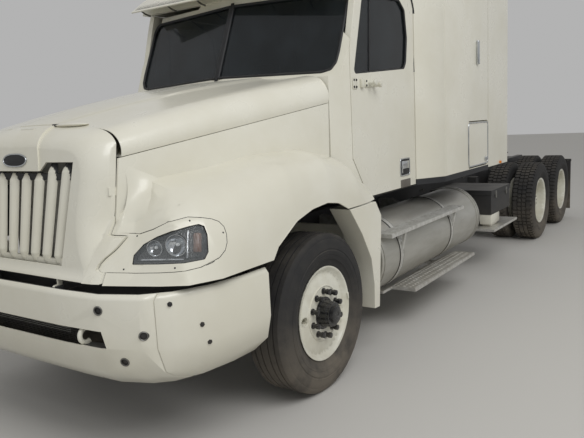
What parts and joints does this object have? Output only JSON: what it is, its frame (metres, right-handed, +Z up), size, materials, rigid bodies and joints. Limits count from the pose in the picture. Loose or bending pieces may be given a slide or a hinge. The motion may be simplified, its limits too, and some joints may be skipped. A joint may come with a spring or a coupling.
{
  "type": "semi truck tractor unit",
  "caption": "Conventional-cab highway tractor with raised-roof sleeper, tilting hood, tandem drive axles and fifth wheel.",
  "frame": {"origin": "on the road, under the middle of the truck's bounding box", "axes": "+Z up; the truck faces -Y; its left (driver's) side is +X"},
  "size_m": [2.47, 9.08, 3.8999],
  "materials": {
    "body_paint": "satin warm white coach paint on moulded panels",
    "chassis_black": "black chassis paint, dusty",
    "tank_aluminium": "dull rolled aluminium",
    "tread_aluminium": "perforated anti-slip aluminium plate",
    "wheel_paint": "white enamel on pressed steel",
    "tyre_rubber": "dusty tyre rubber",
    "glass_dark": "green-black tinted laminated glass",
    "lamp_lens": "clear lens over chrome reflectors",
    "trim_black": "black grained plastic",
    "cab_trim": "grey-brown moulded cab trim",
    "seat_cloth": "dark grey woven cloth",
    "bare_steel": "worn greased steel",
    "flap_rubber": "sheet rubber",
    "cast_grey": "cast iron, oily"
  },
  "bodies": {
    "truck": {"frame_rail_left": "chassis_black", "frame_rail_right": "chassis_black", "crossmembers": "chassis_black", "axles": "chassis_black", "springs": "chassis_black", "driveline": "chassis_black", "engine": "cast_grey", "radiator": "tank_aluminium", "bumper_centre": "body_paint", "bumper_ends": "body_paint", "cab_floor": "chassis_black", "cab_front": "body_paint", "cab_side_left": "body_paint", "cab_side_right": "body_paint", "cab_rear": "body_paint", "cab_roof": "body_paint", "visor": "body_paint", "windshield": "glass_dark", "dashboard": "cab_trim", "steering_wheel": "trim_black", "seats": "seat_cloth", "bunk": "seat_cloth", "fuel_tanks": "tank_aluminium", "tank_steps": "tread_aluminium", "battery_box": "chassis_black", "side_step": "tread_aluminium", "fender_extensions": "body_paint", "deck_plate": "tread_aluminium", "side_extenders": "body_paint", "exhaust": "tank_aluminium", "mud_flaps": "flap_rubber", "fifth_wheel_base": "chassis_black"},
    "hood": {"hood_top": "body_paint", "hood_nose": "body_paint", "grille": "body_paint", "fender_left": "body_paint", "fender_right": "body_paint", "headlamps": "lamp_lens"},
    "door_left": {"door_left": "body_paint", "door_glass_left": "glass_dark"},
    "door_right": {"door_right": "body_paint", "door_glass_right": "glass_dark"},
    "baggage_left": {"baggage_door_left": "body_paint"},
    "baggage_right": {"baggage_door_right": "body_paint"},
    "steer_left": {"knuckle_left": "chassis_black"},
    "steer_right": {"knuckle_right": "chassis_black"},
    "front_wheel_left": {"tyre_front_left": "tyre_rubber", "wheel_front_left": "wheel_paint"},
    "front_wheel_right": {"tyre_front_right": "tyre_rubber", "wheel_front_right": "wheel_paint"},
    "rear1_wheels_left": {"tyres_rear1_left": "tyre_rubber", "wheel_rear1_left": "wheel_paint"},
    "rear1_wheels_right": {"tyres_rear1_right": "tyre_rubber", "wheel_rear1_right": "wheel_paint"},
    "rear2_wheels_left": {"tyres_rear2_left": "tyre_rubber", "wheel_rear2_left": "wheel_paint"},
    "rear2_wheels_right": {"tyres_rear2_right": "tyre_rubber", "wheel_rear2_right": "wheel_paint"},
    "fifth_wheel": {"fifth_wheel_plate": "bare_steel"}
  },
  "joints": [
    {"name": "hood_tilt", "type": "hinge", "parent": "truck", "child": "hood", "pos_m": [0, -4.48, 0.94], "axis": [1, 0, 0], "range_deg": [0, 75]},
    {"name": "door_left_swing", "type": "hinge", "parent": "truck", "child": "door_left", "pos_m": [1.036, -2.433, 1.9], "axis": [0, 0, -1], "range_deg": [0, 65]},
    {"name": "door_right_swing", "type": "hinge", "parent": "truck", "child": "door_right", "pos_m": [-1.036, -2.433, 1.9], "axis": [0, 0, 1], "range_deg": [0, 65]},
    {"name": "baggage_left_swing", "type": "hinge", "parent": "truck", "child": "baggage_left", "pos_m": [1.196, -0.455, 1.413], "axis": [0, 0, -1], "range_deg": [0, 100]},
    {"name": "baggage_right_swing", "type": "hinge", "parent": "truck", "child": "baggage_right", "pos_m": [-1.196, -0.455, 1.413], "axis": [0, 0, 1], "range_deg": [0, 100]},
    {"name": "steering_left", "type": "hinge", "parent": "truck", "child": "steer_left", "pos_m": [0.905, -3.085, 0.51], "axis": [0, 0, 1], "range_deg": [-35, 35]},
    {"name": "steering_right", "type": "hinge", "parent": "truck", "child": "steer_right", "pos_m": [-0.905, -3.085, 0.51], "axis": [0, 0, 1], "range_deg": [-35, 35]},
    {"name": "front_spin_left", "type": "hinge", "parent": "steer_left", "child": "front_wheel_left", "pos_m": [1.03, -3.085, 0.51], "axis": [1, 0, 0], "continuous": true},
    {"name": "front_spin_right", "type": "hinge", "parent": "steer_right", "child": "front_wheel_right", "pos_m": [-1.03, -3.085, 0.51], "axis": [1, 0, 0], "continuous": true},
    {"name": "rear1_spin_left", "type": "hinge", "parent": "truck", "child": "rear1_wheels_left", "pos_m": [0.916, 2.415, 0.51], "axis": [1, 0, 0], "continuous": true},
    {"name": "rear1_spin_right", "type": "hinge", "parent": "truck", "child": "rear1_wheels_right", "pos_m": [-0.916, 2.415, 0.51], "axis": [1, 0, 0], "continuous": true},
    {"name": "rear2_spin_left", "type": "hinge", "parent": "truck", "child": "rear2_wheels_left", "pos_m": [0.916, 3.735, 0.51], "axis": [1, 0, 0], "continuous": true},
    {"name": "rear2_spin_right", "type": "hinge", "parent": "truck", "child": "rear2_wheels_right", "pos_m": [-0.916, 3.735, 0.51], "axis": [1, 0, 0], "continuous": true},
    {"name": "fifth_wheel_tilt", "type": "hinge", "parent": "truck", "child": "fifth_wheel", "pos_m": [0, 2.875, 1.11], "axis": [1, 0, 0], "range_deg": [-12, 12]}
  ],
  "couplings": [
    {"joint": "steering_right", "follows": "steering_left", "ratio": 1}
  ]
}
